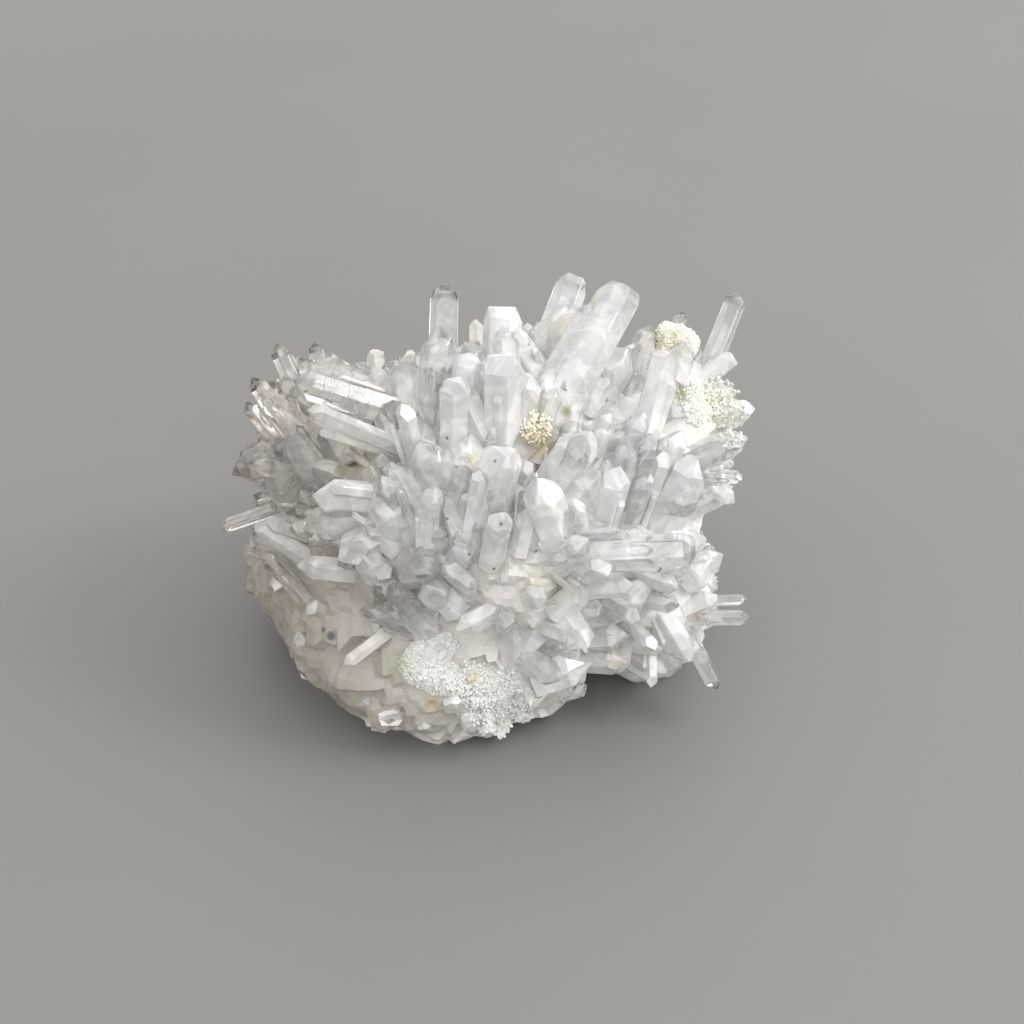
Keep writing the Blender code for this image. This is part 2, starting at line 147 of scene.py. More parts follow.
Crystal = namedtuple("Crystal", "look tip foot width lean back blunt", defaults=(0.0, 0.0))
CRYSTALS = (
    # left side, from the low ones upward
    Crystal("clear", (-49.8, -3.7), (-36.0, 1.0), 3.6, 1),
    Crystal("clear", (-41.7, 2.0), (-40.7, -6.9), 2.0, 5),
    Crystal("glassy", (-47.6, 6.1), (-37.0, 10.0), 7.6, 2),
    Crystal("glassy", (-46.0, 9.5), (-37.0, 12.0), 5.0, -3),
    Crystal("clear", (-44.8, 19.7), (-36.0, 8.5), 3.4, 1),
    Crystal("clear", (-43.7, 24.4), (-34.5, 11.5), 4.2, -1),
    Crystal("clear", (-39.2, 30.5), (-38.0, 20.0), 4.1, -2, 4),
    Crystal("clear", (-31.8, 30.9), (-31.6, 23.0), 3.6, -3, 4),
    Crystal("beige", (-28.5, 28.8), (-28.6, 23.0), 2.8, -2, 2),
    Crystal("beige", (-35.2, 28.1), (-33.8, 22.0), 3.6, -2, 5),
    Crystal("glassy", (-40.5, 23.8), (-31.5, 19.0), 5.6, 2),
    Crystal("glassy", (-33.5, 26.6), (-14.0, 20.0), 3.9, 7),
    Crystal("glassy", (-36.1, 23.6), (-14.5, 17.0), 6.0, 8),
    Crystal("veiled", (-33.5, 18.4), (-16.0, 11.0), 4.0, 8),
    Crystal("glassy", (-35.3, 15.4), (-31.0, 9.0), 2.4, 4),
    # along the top
    Crystal("beige", (-20.8, 29.4), (-20.3, 22.0), 4.2, -3, 4, 0.1),
    Crystal("veiled", (-17.3, 27.7), (-13.8, 20.0), 3.8, 1, 1),
    Crystal("beige", (-14.5, 29.2), (-14.0, 22.0), 3.4, -2, 3, 0.15),
    Crystal("clear", (-7.9, 41.8), (-8.4, 24.0), 5.9, -4, 5),
    Crystal("glassy", (-8.7, 33.9), (-10.0, 17.0), 7.0, 3),
    Crystal("milky", (3.1, 37.2), (2.4, 22.0), 7.6, -1, 3, 0.25),
    Crystal("milky", (3.3, 28.3), (3.0, 13.0), 8.8, 6, 0, 0.25),
    Crystal("milky", (-3.3, 28.5), (-4.4, 15.0), 6.0, 4, 0, 0.25),
    Crystal("milky", (7.4, 24.6), (6.0, 13.0), 6.4, 5, 0, 0.2),
    Crystal("milky", (-5.6, 24.0), (-6.0, 12.0), 6.0, 6, 0, 0.2),
    Crystal("beige", (-2.0, 35.2), (-1.7, 24.0), 3.8, -4, 8),
    Crystal("beige", (7.8, 34.4), (7.8, 22.0), 4.6, -4, 8),
    Crystal("glassy", (16.4, 43.0), (10.5, 27.0), 7.2, -8, 6, 0.2),
    Crystal("beige", (16.7, 36.3), (10.5, 23.0), 7.4, -2, 3, 0.1),
    Crystal("veiled", (25.6, 41.4), (12.6, 18.0), 9.6, 2, 0, 0.28),
    Crystal("veiled", (21.2, 38.0), (9.5, 18.5), 6.4, 2, 1, 0.1),
    Crystal("glassy", (30.6, 34.0), (26.0, 20.0), 5.8, -4, 4),
    # right side, from the top downward
    Crystal("clear", (36.5, 36.6), (32.0, 26.0), 2.6, -2, 3),
    Crystal("clear", (47.0, 40.3), (40.5, 24.0), 4.6, -3, 3),
    Crystal("milky", (45.8, 28.0), (36.0, 21.0), 4.2, 0, 0, 0.3),
    Crystal("milky", (33.1, 29.2), (29.5, 14.0), 5.6, 3, 0, 0.3),
    Crystal("veiled", (39.5, 30.0), (37.0, 20.0), 3.6, 0, 2),
    Crystal("milky", (50.0, 18.2), (38.5, 16.0), 5.2, 0),
    Crystal("veiled", (48.6, 13.0), (38.0, 11.0), 4.8, 1),
    Crystal("milky", (46.8, 21.8), (36.5, 19.0), 4.6, 3),
    Crystal("glassy", (47.8, 5.7), (37.0, 6.0), 2.8, 1),
    Crystal("milky", (46.1, 0.8), (38.0, 8.0), 3.4, 1),
    Crystal("veiled", (40.5, 1.6), (36.0, 8.0), 2.6, 2),
    Crystal("milky", (44.0, -8.6), (34.0, -12.0), 5.0, 2),
    Crystal("clear", (41.7, -6.8), (38.0, -14.0), 2.4, 4),
    Crystal("glassy", (49.2, -20.4), (36.0, -20.4), 3.8, 2),
    Crystal("glassy", (48.4, -17.0), (36.0, -17.6), 2.4, 1, 2),
    Crystal("clear", (42.9, -33.7), (36.0, -21.0), 3.4, 2),
    Crystal("milky", (30.4, -33.5), (30.2, -24.0), 3.6, 3),
    Crystal("milky", (38.0, -28.8), (32.0, -19.0), 4.6, 3),
    Crystal("veiled", (24.4, -30.8), (26.0, -20.0), 4.4, 3),
    Crystal("clear", (18.8, -33.1), (2.0, -38.6), 3.9, 3, 4),
    Crystal("veiled", (13.8, -31.8), (7.0, -28.0), 5.6, 4),
    # middle, toward the viewer
    Crystal("milky", (24.4, 7.1), (20.0, -7.0), 5.8, 8, 0, 0.15),
    Crystal("veiled", (26.6, 12.6), (22.5, -2.0), 5.0, 7),
    Crystal("milky", (39.0, 9.4), (31.5, -6.0), 7.6, 6, 0, 0.1),
    Crystal("veiled", (29.6, 6.0), (25.0, -6.0), 4.4, 8),
    Crystal("milky", (33.1, 10.4), (28.0, -3.0), 4.8, 6, 0, 0.1),
    Crystal("veiled", (30.3, 14.0), (27.0, 2.0), 4.6, 6),
    Crystal("milky", (36.0, 14.5), (31.0, 2.0), 4.8, 5),
    Crystal("veiled", (24.5, 19.5), (18.5, 9.0), 5.0, 5, 0, 0.1),
    Crystal("milky", (28.8, 17.5), (23.0, 7.0), 4.6, 5),
    Crystal("milky", (3.0, 10.8), (-0.8, -4.0), 8.2, 8, 0, 0.2),
    Crystal("milky", (9.3, 5.6), (13.4, -7.0), 7.8, 9),
    Crystal("veiled", (4.7, -2.2), (14.0, -12.0), 4.6, 6),
    Crystal("glassy", (38.8, -7.6), (12.0, -8.6), 6.0, 4, 0, 0.2),
    Crystal("veiled", (4.0, -14.0), (4.4, -25.0), 6.2, 7),
    Crystal("glassy", (-11.2, -8.4), (-10.8, -21.0), 3.4, 6),
    Crystal("milky", (-32.7, 2.2), (-22.0, 1.4), 7.4, 5),
    Crystal("veiled", (-35.3, -3.8), (-25.5, -3.0), 7.6, 3),
    Crystal("veiled", (-27.5, -9.5), (-20.0, -5.0), 7.0, 5),
    Crystal("clear", (-41.7, -8.6), (-33.5, -17.0), 3.2, 3),
    Crystal("clear", (-21.2, -14.1), (-15.5, -21.5), 2.8, 4),
    Crystal("glassy", (-18.2, -14.0), (-11.5, -21.5), 4.2, 6),
    Crystal("glassy", (-22.9, -18.6), (-14.5, -22.5), 3.2, 5),
    Crystal("beige", (-26.6, -29.2), (-18.4, -23.0), 2.8, 2),
    Crystal("milky", (-15.5, 19.5), (-13.0, 8.0), 4.4, 7),
    Crystal("veiled", (-4.0, 8.0), (-6.5, -3.0), 5.2, 8),
    Crystal("milky", (-10.0, 4.0), (-11.0, -8.0), 5.0, 8),
    Crystal("veiled", (-19.5, 6.0), (-15.0, -4.0), 5.0, 7),
    Crystal("veiled", (18.0, 13.5), (14.5, 3.0), 5.6, 6),
    Crystal("milky", (16.5, -14.5), (12.0, -20.0), 5.0, 5),
    Crystal("veiled", (27.0, -17.0), (21.0, -20.0), 5.4, 5),
)

FILL_OUTLINE = (
    (-45, -8), (-43, 0), (-46, 8), (-42.5, 14), (-44, 20), (-42, 25), (-38.5, 29),
    (-33, 28.5), (-28, 28), (-22.5, 27), (-14, 29), (-10, 31), (-5, 31), (-2.5, 31),
    (3, 34), (8, 34), (14, 38), (19, 38), (26, 38), (31, 33), (36, 32), (40, 28),
    (45, 28), (46, 23), (49.5, 18), (46.5, 10), (46, 3), (40.5, 3), (38.5, -1),
    (40.5, -5), (43.5, -9), (43, -17), (44, -21), (39.5, -24), (38, -29), (30, -32.5),
    (24, -31), (20.5, -28), (15, -30.5), (11, -33), (8.5, -34), (8, -40.5), (-7, -43),
    (-20, -39), (-30.5, -32.5), (-39, -27), (-42, -15),
)
BARE_EDGE = (
    (-46, -8), (-27, -14), (-12, -17), (4, -22), (9, -29), (10, -50), (-60, -50), (-60, -8),
)
BARE_BACK = 12.0

# Smaller crystals along a large one: shares of its width, length and clearness
COMPANION_ASIDE = (0.25, 0.5)
COMPANION_WIDTH = (0.22, 0.5)
COMPANION_LENGTH = (0.25, 0.85)
COMPANION_CLEAR = (0.85, 1.0)

# Where they start along it and how deep they are sunk, in mm, how far they lean out, how worn
# their edges are, and how many kinds there are
COMPANION_START = (-2.0, 1.0)
COMPANION_SUNK = 2.0
COMPANION_LEAN = (-0.01, 0.16)
COMPANION_WORN = 0.03
COMPANION_KINDS = 10

# Small crystals that only this script makes: how many are tried, their widths and lengths in
# mm, how far they follow the rock, the fan and chance, and how worn their edges are
SMALL_SEED = 5
Tier = namedtuple("Tier", "count widths lengths normal fan scatter worn")
SMALL_TIERS = {
    "middling crystals": Tier(480, (3.8, 8.6), (4.0, 11.0), 0.55, 0.7, 0.4, 0.05),
    "small crystals": Tier(320, (1.2, 3.2), (3.0, 7.5), 0.5, 0.7, 0.5, 0.0),
    "needles": Tier(300, (0.3, 0.8), (3.0, 8.0), 0.6, 0.8, 0.5, 0.0),
}
FRAGMENTS = Tier(900, (2.5, 6.5), (0.5, 1.8), 0.45, 0.0, 1.0, 0.06)
FRAGMENT_CLEAR = 0.6
SMALL_KINDS = 14
SMALL_SUNK = 1.5
SMALL_LOWEST = 3.0
SMALL_SHORTEST = 1.0
SHORTENING = 0.5
FOOT_SCATTER = 0.04
SMALL_BUNCH_SIZE = 1.6
SMALL_BUNCH_SHARE = 0.5
LEAST_OUTWARD = 0.2
LOWEST_TIP = 1.0

# The place of the front view that their fan spreads from
FAN_ROOT = (-2.0, -30.0)

# Copied crystals are first made 1 mm wide: their length in mm, and the share of it that is foot
KIND_LENGTH = 2.0
GRAIN_KIND_LENGTH = 1.0
KIND_FOOT = 0.1

# Small crystals get clearer to the left of a place across, over so many mm, and few are beige
CLEARER_FROM = -12.0
CLEARER_OVER = 22.0
CLEARER_BY = 0.25
SMALL_CLEAR = (0.45, 0.8)
BEIGE_SHARE = 0.06
BEIGE_TINT = (0.4, 0.9)
PLAIN_TINT = (0.0, 0.15)

# Knobs of rock under sugary crusts: place in the front view, how deep it stands, radius in mm,
# and how many tiny crystals for the square of its radius
KNOBS = (
    ((35.0, 30.2), 1.0, 3.9),
    ((9.2, 13.6), 1.2, 2.8),
    ((-9.0, -28.5), 4.5, 7.0),
)
KNOB_GRAINS = 90
KNOB_FINENESS = 4
KNOB_LUMP = 0.35
KNOB_LUMP_SIZE = 1.3

# Sugary crusts: place in the front view, radius in mm, and how many tiny crystals
CRUST_SEED = 8
CRUST_PATCHES = (
    ((2.0, -36.0), 7.0, 900),
    ((-2.0, -33.0), 5.0, 450),
    ((9.2, 15.0), 3.4, 260),
    ((39.5, 19.5), 4.5, 800),
    ((43.5, 21.0), 4.5, 200),
    ((45.5, 15.0), 4.0, 140),
)
CRUST_RAGGED = 4
GRAIN_KINDS = 10
GRAIN_WIDTH = (0.3, 0.7)
GRAIN_LENGTH = (0.6, 1.1)
GRAIN_SUNK = 0.2
GRAIN_SCATTER = 0.6
GRAIN_CLEAR = (0.3, 0.8)
GRAIN_TINT = (0.1, 0.5)

# The room's light: the way toward its brightest side, how bright it is there and at its
# darkest, and how far round from the brightest side the darkest part starts
BRIGHT_WAY = Vector((0.45, -0.35, 0.82))
ROOM_BRIGHT = 1.66
ROOM_DARK = 0.8
ROOM_DARK_FROM = -0.5

# The key light: its place and aim in metres, its size, power and colour
KEY_PLACE = (0.62, -0.1, 0.62)
KEY_AIM = (0.0, 0.0, 0.03)
KEY_SIZE = 0.3
KEY_POWER = 3.0
KEY_TONE = (1.0, 0.985, 0.96)

# Painted shade on the left side, away from the light: full to the left of the first place across,
# in metres, and none, so pale, to the right of the second
ROCK_PAINTED_SHADE_SPAN = (-0.015, 0.03)
CRYSTAL_PAINTED_SHADE_SPAN = (-0.045, -0.01)

# Colours
QUARTZ_IOR = 1.544
CLEAR_QUARTZ = (0.998, 0.997, 0.994)
MILKY_QUARTZ = (0.993, 0.99, 0.983)
BEIGE_QUARTZ = (0.93, 0.88, 0.80)
# painted shade for the crystals on the left side, away from the light
PAINTED_SHADE_QUARTZ = (0.91, 0.87, 0.82)
BRIGHT_SUGAR = (0.80, 0.82, 0.795)
DULL_SUGAR = (0.73, 0.73, 0.675)
PALE_ROCK = (0.82, 0.81, 0.79)
WARM_ROCK = (0.76, 0.735, 0.69)
# painted shade for the rock's left side, away from the light
PAINTED_SHADE_ROCK = (0.63, 0.57, 0.49)
GREY_ROCK = (0.70, 0.67, 0.62)
DARK_SPECK = (0.10, 0.11, 0.14)
FLOOR = (0.185, 0.179, 0.17)
PALER_FLOOR = (0.195, 0.189, 0.18)

# Stains: place in the front view, radius in mm, colour, strength
BROWN = (0.66, 0.55, 0.38)
OLIVE = (0.50, 0.48, 0.32)
CREAM = (0.90, 0.86, 0.70)
STAINS = (
    ((9.3, 12.6), 4.2, BROWN, 0.9),
    ((8.8, 17.0), 4.0, CREAM, 0.8),
    ((14.7, 18.0), 1.6, OLIVE, 1.0),
    ((36.3, 21.4), 2.0, OLIVE, 1.0),
    ((32.2, 30.9), 2.2, OLIVE, 0.7),
    ((43.0, 19.0), 7.0, CREAM, 0.5),
    ((34.0, 31.0), 6.0, CREAM, 0.7),
    ((-10.0, -36.5), 2.6, BROWN, 0.8),
    ((-2.8, -31.6), 1.8, BROWN, 0.7),
    ((12.0, -15.5), 4.5, OLIVE, 0.25),
    ((10.0, -13.0), 5.0, CREAM, 0.3),
    ((-27.2, 7.4), 2.4, OLIVE, 0.8),
    ((-24.0, 9.5), 5.0, CREAM, 0.7),
    ((-2.0, 9.3), 2.0, CREAM, 0.9),
    ((-17.0, -30.0), 4.0, OLIVE, 0.5),
    ((39.5, -20.0), 1.6, BROWN, 0.6),
    ((24.0, -28.5), 2.6, BROWN, 0.5),
    ((-36.0, -3.0), 7.0, OLIVE, 0.35),
)

# Dark specks: place in the front view, radius in mm
INCLUSIONS = (
    ((-29.0, -23.8), 1.1),
    ((-30.4, -22.6), 0.6),
    ((-7.4, 13.0), 0.4),
    ((1.5, 8.7), 0.35),
    ((-7.4, -2.0), 0.35),
    ((2.6, -3.0), 0.4),
    ((-3.3, -8.6), 0.35),
    ((1.3, -11.3), 0.4),
    ((9.1, -8.0), 0.35),
)


def from_view(across, rise, toward):
    """Point in mm that the front view shows at (across, rise), this much before its plane."""
    nearer = (VIEW_DISTANCE - toward) / VIEW_DISTANCE
    return (VIEW_CENTRE + VIEW_RIGHT * (across * nearer) + VIEW_UP * (rise * nearer)
            + VIEW_TOWARD * toward)


def to_view(point):
    """Place (across, rise) in the front view of a point in mm."""
    offset = point - VIEW_CENTRE
    nearer = (VIEW_DISTANCE - offset.dot(VIEW_TOWARD)) / VIEW_DISTANCE
    return offset.dot(VIEW_RIGHT) / nearer, offset.dot(VIEW_UP) / nearer


def line_of_sight(place):
    """The viewer's eye in mm, and the way from it to a place of the front view."""
    eye = VIEW_CENTRE + VIEW_TOWARD * VIEW_DISTANCE
    return eye, (from_view(*place, 0.0) - eye).normalized()


def inside(place, outline):
    """True where a place of the front view lies inside a closed outline."""
    across, rise = place
    odd = False
    for (x0, y0), (x1, y1) in zip(outline, outline[1:] + outline[:1]):
        if (y0 > rise) != (y1 > rise) and across < x0 + (x1 - x0) * (rise - y0) / (y1 - y0):
            odd = not odd
    return odd


def rock_radius(directions, smooth):
    """How far the rock reaches from its heart along each direction, in mm."""
    reaches = np.linspace(ROCK_REACH, 0.0, ROCK_STEPS)
    heart = np.array(ROCK_HEART)
    found = []
    for part in np.array_split(directions, max(1, len(directions) // ROCK_AT_ONCE)):
        points = heart + part[:, None, :] * reaches[None, :, None]
        total = np.zeros(points.shape[:2])
        for centre, half_size in ROCK_LUMPS:
            depth = np.linalg.norm((points - np.array(centre)) / np.array(half_size), axis=2)
            total += np.exp(-ROCK_CREASE * (depth - 1.0))
        step = np.argmax(total >= 1.0, axis=1)
        reach = reaches[step]
        if smooth:
            rows = np.arange(len(part))
            outer = np.log(total[rows, step - 1])
            inner = np.log(total[rows, step])
            reach = reach + (reaches[step - 1] - reach) * inner / (inner - outer)
        found.append(reach)
    return np.concatenate(found)


def rock_points(fineness, smooth):
    """A ball of the given fineness pushed out to the rock's surface, as a shape in mm."""
    shape = bmesh.new()
    bmesh.ops.create_icosphere(shape, subdivisions=fineness, radius=1.0)
    shape.verts.ensure_lookup_table()
    directions = np.array([vertex.co.normalized()[:] for vertex in shape.verts])
    for vertex, direction, radius in zip(shape.verts, directions, rock_radius(directions, smooth)):
        direction = Vector(direction)
        place = ROCK_HEART + direction * radius
        finer = noise.noise(place * ROCK_GRAIN * ROCK_FINER)
        broken = noise.noise(place * ROCK_GRAIN) + ROCK_FINER_SHARE * finer
        vertex.co = place + direction * (broken * ROCK_ROUGHNESS)
    return shape


def cut_off(shape, point, outward):
    """Cut a closed shape with a plane, and close it again with one flat face."""
    cut = bmesh.ops.bisect_plane(
        shape, geom=shape.verts[:] + shape.edges[:] + shape.faces[:], plane_co=point,
        plane_no=outward, clear_outer=True)
    rim = [item for item in cut["geom_cut"] if isinstance(item, bmesh.types.BMEdge)]
    if rim:
        bmesh.ops.contextual_create(shape, geom=rim)


def broken_faces(place, size):
    """How far a surface of tilted, broken faces stands out at a place, in mm."""
    near, cells = noise.voronoi(place / size)
    cell = cells[0] * FACET_DRAW
    tilt = Vector([noise.cell(cell + draw) for draw in BUNCH_DRAWS]) - Vector((0.5, 0.5, 0.5))
    tilted = (place / size - cells[0]).dot(tilt) * size * FACET_TILT * 2.0
    return tilted - near[0] * size * FACET_STEP


def fine_rock_shape():
    """The rock with its broken and crumbly surface, cut flat underneath."""
    shape = rock_points(FINE_ROCK_FINENESS, True)
    for vertex in shape.verts:
        place = vertex.co.copy()
        outward = (place - ROCK_HEART).normalized()
        stand = sum(broken_faces(place, size) for size in FACET_SIZES)
        crumb = noise.fractal(place / CRUMB_SIZE, 0.7, 2.0, 3)
        vertex.co = place + outward * (stand + crumb * CRUMB_DEPTH)
    cut_off(shape, (0.0, 0.0, 0.0), (0.0, 0.0, -1.0))
    return shape


def crystal_shape(width, length, blunt, rng):
    """A six-sided crystal in mm along +Z: its foot at the origin and its tip at length."""
    shape = bmesh.new()
    radius = width / 2.0
    rough_length = length + width
    bmesh.ops.create_cone(shape, cap_ends=True, segments=SIDES, radius1=radius,
                          radius2=radius * CRYSTAL_TAPER, depth=rough_length)
    bmesh.ops.translate(shape, verts=shape.verts, vec=(0.0, 0.0, rough_length / 2.0))
    for side in range(SIDES):
        turn = math.radians(360.0 / SIDES * side)
        face_out = Vector((math.cos(turn) * math.cos(POINT_LEAN),
                           math.sin(turn) * math.cos(POINT_LEAN), math.sin(POINT_LEAN)))
        steepness = rng.uniform(*POINT_STEPS[side % 2])
        cut_off(shape, (0.0, 0.0, length + steepness * width), face_out)
    top = max(vertex.co.z for vertex in shape.verts)
    if blunt:
        top -= blunt * width
        cut_off(shape, (0.0, 0.0, top), (0.0, 0.0, 1.0))
    flatness = rng.uniform(*CRYSTAL_FLATNESS)
    bmesh.ops.scale(shape, verts=shape.verts, vec=(1.0, flatness, length / top))
    return shape


# A placed solid: its points in mm and its triangles, its points in its own frame, its stem, how
# far along it each point is, how clear and beige it is, and a number of its own from 0 to 1
Placed = namedtuple("Placed", "points triangles local foot tip radius along clear tint own")


def place_solid(solid, placing, scaled, along, clear, tint, own):
    """A solid (points and triangles) placed by a matrix, with what it says of its own crystal."""
    turn = np.array(placing)
    foot = turn[:3, 3]
    tip = foot + turn[:3, 2] * scaled[:, 2].max()
    radius = np.hypot(scaled[:, 0], scaled[:, 1]).max()
    points = scaled @ turn[:3, :3].T + foot
    along = np.broadcast_to(along, len(points))
    return Placed(points, solid[1], scaled, foot, tip, radius, along, clear, tint, own)


def mesh_object(name, solids):
    """One mesh of many placed solids, in metres, in the part's own frame."""
    starts = np.cumsum([0] + [len(solid.points) for solid in solids])
    triangles = np.concatenate([solid.triangles + start for solid, start in zip(solids, starts)])
    points = (np.concatenate([solid.points for solid in solids]) + SHIFT) * MM
    mesh = bpy.data.meshes.new(name)
    mesh.from_pydata(points.tolist(), [], triangles.tolist())
    corners = triangles.ravel()
    local = np.concatenate([solid.local for solid in solids])[corners]
    along = np.concatenate([solid.along for solid in solids])[corners]
    data = mesh.attributes.new("local", "FLOAT_VECTOR", "CORNER").data
    data.foreach_set("vector", local.astype(np.float32).ravel())
    data = mesh.attributes.new("along", "FLOAT", "CORNER").data
    data.foreach_set("value", along.astype(np.float32))
    counts = [len(solid.triangles) for solid in solids]
    for label in ("clear", "tint", "own"):
        values = np.repeat([getattr(solid, label) for solid in solids], counts)
        data = mesh.attributes.new(label, "FLOAT", "FACE").data
        data.foreach_set("value", values.astype(np.float32))
    item = bpy.data.objects.new(name, mesh)
    bpy.context.scene.collection.objects.link(item)
    return item


def gaps_to(stem, others):
    """Shortest distances from one straight stem (foot and tip) to each of many others."""
    foot, tip = stem
    feet, tips = others
    way = tip - foot
    ways = tips - feet
    offset = foot - feet
    square = way @ way
    squares = (ways * ways).sum(1)
    cross = ways @ way
    along_others = (ways * offset).sum(1)
    along_own = offset @ way
    slant = np.maximum(square * squares - cross * cross, 1e-9)
    own = np.clip((cross * along_others - along_own * squares) / slant, 0.0, 1.0)
    other = np.clip((cross * own + along_others) / squares, 0.0, 1.0)
    own = np.clip((cross * other - along_own) / square, 0.0, 1.0)
    apart = foot + own[:, None] * way - feet - other[:, None] * ways
    return np.linalg.norm(apart, axis=1)


def layers_of(solids):
    """Sort crystals into layers, so that no two in one layer touch."""
    feet = np.array([solid.foot for solid in solids])
    tips = np.array([solid.tip for solid in solids])
    radii = np.array([solid.radius for solid in solids])
    layer = np.zeros(len(solids), int)
    for index in range(1, len(solids)):
        gaps = gaps_to((feet[index], tips[index]), (feet[:index], tips[:index]))
        touched = set(layer[:index][gaps < (radii[index] + radii[:index]) * TOUCHING])
        layer[index] = min(set(range(len(touched) + 1)) - touched)
    return [[solid for solid, own in zip(solids, layer) if own == level]
            for level in range(layer.max() + 1)]


def grown_together(name, solids):
    """One closed shell of crystals that stand in each other, cut flat at the table."""
    first, *rest = [mesh_object(name, layer) for layer in layers_of(solids)]
    bpy.ops.mesh.primitive_cube_add(size=1.0, location=(0.0, 0.0, -0.5))
    under = bpy.context.object
    for helper, operation in [(item, "UNION") for item in rest] + [(under, "DIFFERENCE")]:
        step = first.modifiers.new("grow", "BOOLEAN")
        step.operation = operation
        step.solver = "MANIFOLD"
        step.object = helper
    graph = bpy.context.evaluated_depsgraph_get()
    joined = bpy.data.meshes.new_from_object(first.evaluated_get(graph), depsgraph=graph)
    first.modifiers.clear()
    first.data = joined
    for helper in rest + [under]:
        bpy.data.objects.remove(helper)
    return first


def solid_of(shape, worn, rounds=1):
    """Points and triangles of a closed shape, with its edges a little worn."""
    bmesh.ops.recalc_face_normals(shape, faces=shape.faces)
    if worn:
        edges = [edge for edge in shape.edges if edge.calc_face_angle(0.0) > SHARP_ANGLE]
        bmesh.ops.bevel(shape, geom=edges, offset=worn, segments=rounds, affect="EDGES",
                        profile=ROUNDNESS, clamp_overlap=True)
    bmesh.ops.triangulate(shape, faces=shape.faces[:])
    shape.verts.index_update()
    points = np.array([vertex.co[:] for vertex in shape.verts])
    triangles = np.array([[vertex.index for vertex in face.verts] for face in shape.faces])
    shape.free()
    return points, triangles


def placing_of(root, axis, twist):
    """Matrix that stands a crystal on its root, along its axis."""
    turned = axis.to_track_quat("Z", "Y").to_matrix().to_4x4()
    return Matrix.Translation(root) @ turned @ Matrix.Rotation(twist, 4, "Z")


def grow(pile, foot, tip, width, blunt, rng, look):
    """Add one large crystal, made as in the part's source, and give its box."""
    axis = (tip - foot).normalized()
    root = foot - axis * ROOT_DEPTH
    length = (tip - root).length
    shape = crystal_shape(width, length, blunt, rng)
    placing = placing_of(root, axis, rng.uniform(0.0, math.tau))
    corners = np.array([(placing @ vertex.co)[:] for vertex in shape.verts])
    solid = solid_of(shape, look.worn * width, 2)
    pile.append(place_solid(solid, placing, solid[0], solid[0][:, 2] / length, look.clear,
                            look.tint, width * 7.7 % 1.0))
    return corners.min(0), corners.max(0)


def foot_on_rock(place, rock_tree):
    """Where a place of the front view lies on the rock, in mm."""
    hit = rock_tree.ray_cast(*line_of_sight(place))[0]
    if hit is None:
        hit = rock_tree.find_nearest(from_view(*place, 0.0))[0]
    return hit


def grow_listed(pile, rock_tree, rng):
    """The crystals that stand out: their boxes, and each one's foot, tip, width and look."""
    boxes = []
    stems = []
    for crystal in CRYSTALS:
        foot = foot_on_rock(crystal.foot, rock_tree) - VIEW_TOWARD * crystal.back
        nearness = (foot - VIEW_CENTRE).dot(VIEW_TOWARD)
        tip = from_view(*crystal.tip, nearness + crystal.lean)
        boxes.append(grow(pile, foot, tip, crystal.width, crystal.blunt, rng, LOOKS[crystal.look]))
        stems.append((foot, tip, crystal.width, LOOKS[crystal.look]))
    return boxes, stems


def side_look(foot, rng):
    """How clear and how beige a small crystal is, by where it stands: clearer on the left."""
    clearer = min(1.0, max(0.0, (CLEARER_FROM - foot.x) / CLEARER_OVER))
    clear = rng.uniform(*SMALL_CLEAR) + CLEARER_BY * clearer
    tint = rng.uniform(*(BEIGE_TINT if rng.random() < BEIGE_SHARE else PLAIN_TINT))
    return clear, tint


def bunch_lean(place):
    """The lean that crystals about this place share: it changes slowly along the rock."""
    return Vector([noise.noise(place / BUNCH_SIZE + draw) for draw in BUNCH_DRAWS]) * BUNCH_LEAN


def around(index, count):
    """Directions spread evenly all round, one for each index."""
    height = 1.0 - 2.0 * (index + 0.5) / count
    ring = math.sqrt(1.0 - height * height)
    turn = GOLDEN_ANGLE * index
    return Vector((ring * math.cos(turn), ring * math.sin(turn), height))


def grow_between(pile, rock_tree, rng, look_rng):
    """The smaller crystals of the part's source, and their boxes."""
    boxes = []
    for index in range(FILL_TRIES):
        outward = around(index, FILL_TRIES)
        foot, normal = rock_tree.ray_cast(ROCK_HEART + outward * ROCK_REACH * 2.0, -outward)[:2]
        scatter = Vector([rng.uniform(-1.0, 1.0) for _ in range(3)]) * FILL_SPREAD
        axis = (normal + outward + bunch_lean(foot) + scatter).normalized()
        facing = max(0.0, axis.dot(VIEW_TOWARD))
        size = rng.random()
        width = FILL_WIDTH[0] + (FILL_WIDTH[1] - FILL_WIDTH[0]) * size * size
        length = rng.uniform(*FILL_LENGTH) * (1.0 - FILL_FRONT_CUT * facing)
        spared = facing > FILL_FRONT_FROM and rng.random() > FILL_FRONT_SHARE
        if spared or foot.z < FILL_LOWEST or inside(to_view(foot), BARE_EDGE) and foot.y < 0.0:
            continue
        while length > FILL_SHORTEST and not inside(to_view(foot + axis * length), FILL_OUTLINE):
            length -= 1.0
        if length <= FILL_SHORTEST:
            continue
        look = Look(*side_look(foot, look_rng), FILL_WORN, 0)
        boxes.append(grow(pile, foot, foot + axis * length, width, 0.0, rng, look))
    return boxes


def kinds_of(rng, count, length, worn):
    """A few crystals one mm wide, to be copied at other sizes."""
    return [solid_of(crystal_shape(1.0, length, 0.0, rng), worn) for _ in range(count)]


def in_reach(point):
    """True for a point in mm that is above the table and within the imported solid's box."""
    across, deep, high = (np.array(point) + SHIFT) * MM
    return (cad_low[0] < across < cad_high[0] and cad_low[1] < deep < cad_high[1]
            and LOWEST_TIP * MM < high < cad_high[2])


def shortened(foot, axis, length):
    """The length at which a small crystal's tip lies inside the outline and the box, in mm."""
    while length > SMALL_SHORTEST and not (inside(to_view(foot + axis * length), FILL_OUTLINE)
                                           and in_reach(foot + axis * length)):
        length -= SHORTENING
    return length


